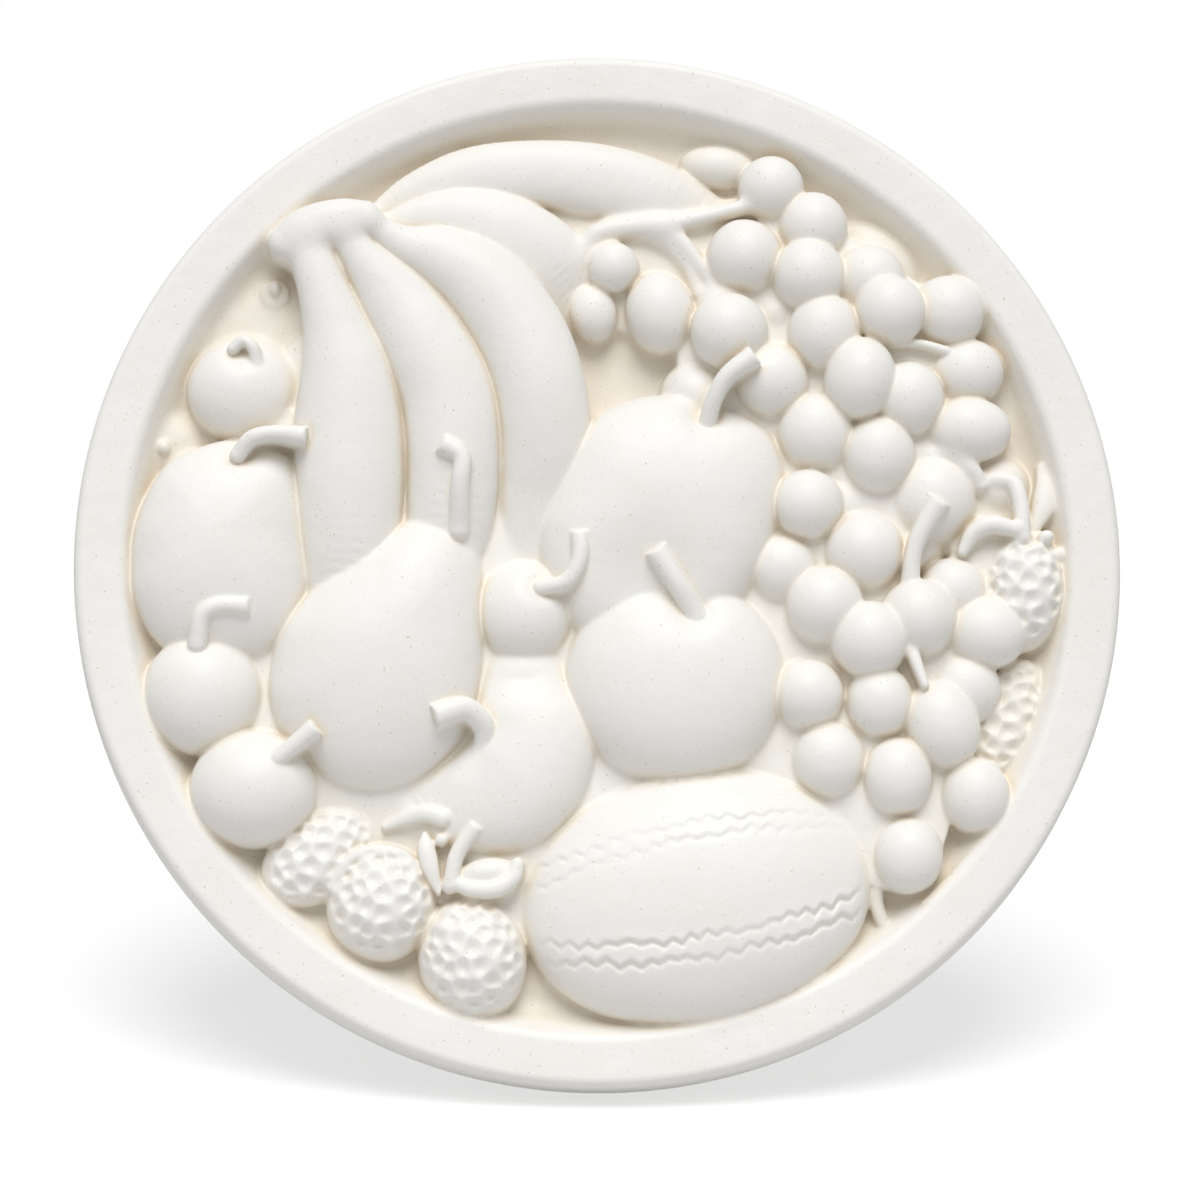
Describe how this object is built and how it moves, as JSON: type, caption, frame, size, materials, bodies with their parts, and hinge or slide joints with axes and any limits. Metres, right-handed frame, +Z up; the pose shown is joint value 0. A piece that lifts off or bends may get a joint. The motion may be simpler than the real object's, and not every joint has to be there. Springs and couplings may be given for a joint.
{
  "type": "wall plaque",
  "caption": "Round cast plaster wall plaque: flat raised rim and sloped inner wall around a high relief of bananas, apples, pear, grapes, melon, cherries and strawberries.",
  "frame": {"origin": "centre of the flat back face, which lies on the wall", "axes": "+Z up, relief faces -Y, back face in the plane Y = 0 with its normal along +Y, X to the viewer's right"},
  "size_m": [0.3048, 0.03, 0.3048],
  "materials": {
    "plaster": "white cast plaster, matt with a faint sheen, cream in the hollows"
  },
  "bodies": {
    "root": {"plaque": "plaster"}
  },
  "joints": []
}
